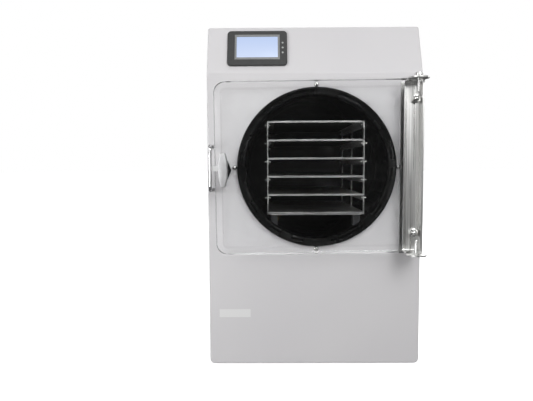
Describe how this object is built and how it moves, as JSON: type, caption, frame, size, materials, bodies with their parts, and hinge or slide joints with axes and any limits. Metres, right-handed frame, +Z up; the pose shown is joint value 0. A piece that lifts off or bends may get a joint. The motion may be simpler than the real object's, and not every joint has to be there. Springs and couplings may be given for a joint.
{
  "type": "freeze dryer",
  "caption": "Bench-top freeze dryer: a light grey sheet-steel cabinet with a sloped console, round black vacuum chamber, shelved tray rack and a thick clear swing door with a wing latch.",
  "frame": {"origin": "on the floor under the middle of the overall box", "axes": "+Z up, the door faces -Y, +X to the right as seen from the front"},
  "size_m": [0.5036, 0.7894, 0.808],
  "materials": {
    "cabinet_paint": "light grey powder coat, semi-gloss",
    "zinc_steel": "zinc-plated sheet, dull",
    "black_rubber": "matt black rubber",
    "gasket_rubber": "moulded, glossy black",
    "stainless_hardware": "polished stainless",
    "chamber_black": "baked black coating, glossy",
    "copper_tube": "drawn copper",
    "foam": "closed-cell foam sleeve",
    "shelf_steel": "brushed stainless sheet",
    "heater_mat": "black silicone heater mat",
    "door_acrylic": "clear cast acrylic, polished edges",
    "hinge_steel": "brushed stainless, vertical grain",
    "latch_black": "black anodised, satin",
    "latch_satin": "satin cast aluminium",
    "keeper_chrome": "bright chrome",
    "bezel_grey": "dark grey moulded plastic",
    "screen_glass": "glass over a lit blue-white display",
    "light_lens": "small lens",
    "label_blank": "blank label stock",
    "dark_plastic": "moulded plastic",
    "compressor_black": "black painted shell",
    "fin_aluminium": "pressed fins",
    "board_green": "solder mask",
    "valve_brass": "turned brass",
    "lever_red": "dipped vinyl grip"
  },
  "bodies": {
    "cabinet": {"base_pan": "zinc_steel", "blank_label": "label_blank", "button_screws": "stainless_hardware", "cabinet_frame": "zinc_steel", "chamber_back": "chamber_black", "chamber_cradle": "zinc_steel", "chamber_flange": "chamber_black", "chamber_insulation": "foam", "compressor": "compressor_black", "compressor_mounts": "black_rubber", "condenser_coil": "fin_aluminium", "control_board": "board_green", "discharge_line": "copper_tube", "door_gasket": "gasket_rubber", "drain_valve_body": "valve_brass", "electronics_tray": "zinc_steel", "evaporator_coil": "copper_tube", "fan_motor": "dark_plastic", "fan_shroud": "zinc_steel", "filter_drier": "copper_tube", "front_panel": "cabinet_paint", "hinge_bracket": "hinge_steel", "hinge_pins": "stainless_hardware", "hmi_bezel": "bezel_grey", "hmi_housing": "dark_plastic", "hmi_screen": "screen_glass", "keeper_bar": "keeper_chrome", "left_side_panel": "cabinet_paint", "panel_screws": "stainless_hardware", "power_inlet": "dark_plastic", "power_supply": "fin_aluminium", "rack_frame": "shelf_steel", "rack_pads": "black_rubber", "rack_screws": "stainless_hardware", "rear_panel": "cabinet_paint", "right_side_panel": "cabinet_paint", "rubber_feet": "black_rubber", "shelf_1": "shelf_steel", "shelf_2": "shelf_steel", "shelf_3": "shelf_steel", "shelf_4": "shelf_steel", "shelf_5": "shelf_steel", "shelf_6": "shelf_steel", "shelf_heaters": "heater_mat", "status_lights": "light_lens", "suction_line": "copper_tube", "switch_housing": "dark_plastic", "top_cover": "cabinet_paint", "vacuum_chamber": "chamber_black", "vacuum_port": "shelf_steel"},
    "door": {"door_plate": "door_acrylic", "hinge_channel": "hinge_steel", "channel_nuts": "stainless_hardware", "latch_escutcheon": "latch_black", "latch_nut": "latch_black"},
    "latch": {"latch_wing": "latch_satin", "latch_nose": "stainless_hardware"},
    "condenser_fan": {"fan_blade": "dark_plastic"},
    "drain_lever": {"drain_valve_lever": "lever_red"},
    "power_switch": {"power_rocker": "dark_plastic"}
  },
  "joints": [
    {"name": "door_hinge", "type": "hinge", "parent": "cabinet", "child": "door", "pos_m": [0.2195, -0.37225, 0.476], "axis": [0, 0, 1], "range_deg": [0, 160]},
    {"name": "latch_turn", "type": "hinge", "parent": "door", "child": "latch", "pos_m": [-0.2072, -0.36025, 0.471], "axis": [0, 1, 0], "range_deg": [0, 90]},
    {"name": "fan_spin", "type": "hinge", "parent": "cabinet", "child": "condenser_fan", "pos_m": [0, -0.04925, 0.1095], "axis": [0, 1, 0], "continuous": true},
    {"name": "drain_lever_turn", "type": "hinge", "parent": "cabinet", "child": "drain_lever", "pos_m": [-0.06, 0.35275, 0.268], "axis": [0, 0, 1], "range_deg": [0, 90]},
    {"name": "switch_rock", "type": "hinge", "parent": "cabinet", "child": "power_switch", "pos_m": [0.18, 0.31875, 0.136], "axis": [1, 0, 0], "range_deg": [-8, 0]}
  ]
}
